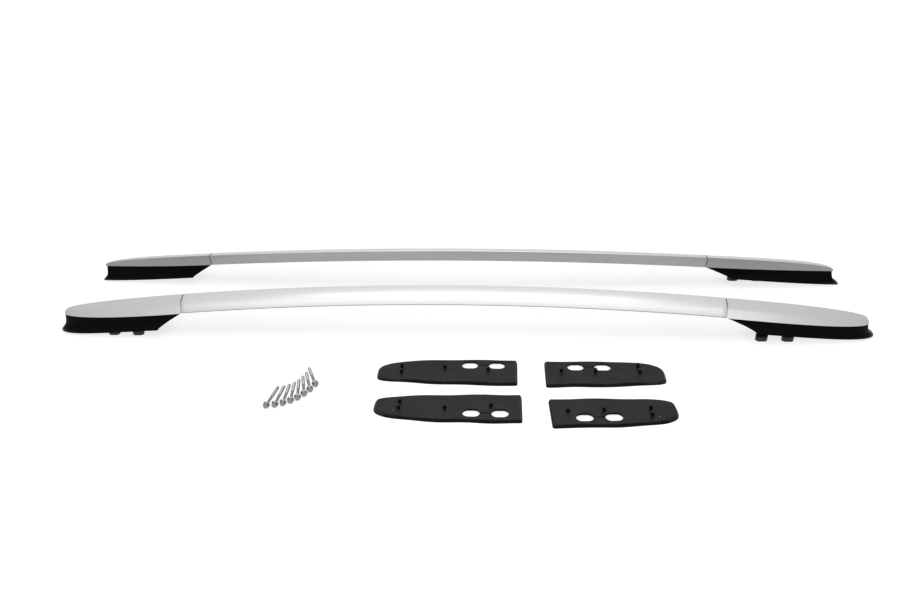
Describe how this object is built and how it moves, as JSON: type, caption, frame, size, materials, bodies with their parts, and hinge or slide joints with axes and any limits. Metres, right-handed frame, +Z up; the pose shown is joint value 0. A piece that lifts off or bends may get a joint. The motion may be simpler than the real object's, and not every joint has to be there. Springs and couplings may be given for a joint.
{
  "type": "roof side rail pair",
  "caption": "Pair of arched silver roof side rails with pointed end caps and black bolt-down feet, laid out with their rubber base gaskets and flange bolts.",
  "frame": {"origin": "centre of the whole laid-out set at floor level", "axes": "+X along the rails towards their front ends, +Y from the right rail towards the left rail, +Z up"},
  "size_m": [1.75, 0.5688, 0.0995],
  "materials": {
    "satin_aluminium": "satin silver anodised extrusion",
    "silver_paint": "satin silver paint on a moulded cap",
    "black_moulding": "satin black moulded nylon",
    "cast_alloy": "plain die-cast alloy",
    "sleeve_steel": "plain turned steel",
    "screw_steel": "zinc-plated steel",
    "gasket_rubber": "soft black rubber with a slight sheen",
    "zinc_plate": "bright zinc plate"
  },
  "bodies": {
    "root": {"left_bar": "satin_aluminium", "left_rear_cap": "silver_paint", "left_front_cap": "silver_paint", "left_rear_foot": "black_moulding", "left_front_foot": "black_moulding", "left_rear_spigot": "cast_alloy", "left_front_spigot": "cast_alloy", "left_rear_sleeves": "sleeve_steel", "left_front_sleeves": "sleeve_steel", "left_rear_screws": "screw_steel", "left_front_screws": "screw_steel", "left_rear_gasket": "gasket_rubber", "left_front_gasket": "gasket_rubber", "right_bar": "satin_aluminium", "right_rear_cap": "silver_paint", "right_front_cap": "silver_paint", "right_rear_foot": "black_moulding", "right_front_foot": "black_moulding", "right_rear_spigot": "cast_alloy", "right_front_spigot": "cast_alloy", "right_rear_sleeves": "sleeve_steel", "right_front_sleeves": "sleeve_steel", "right_rear_screws": "screw_steel", "right_front_screws": "screw_steel", "right_rear_gasket": "gasket_rubber", "right_front_gasket": "gasket_rubber", "mounting_bolts": "zinc_plate"}
  },
  "joints": []
}
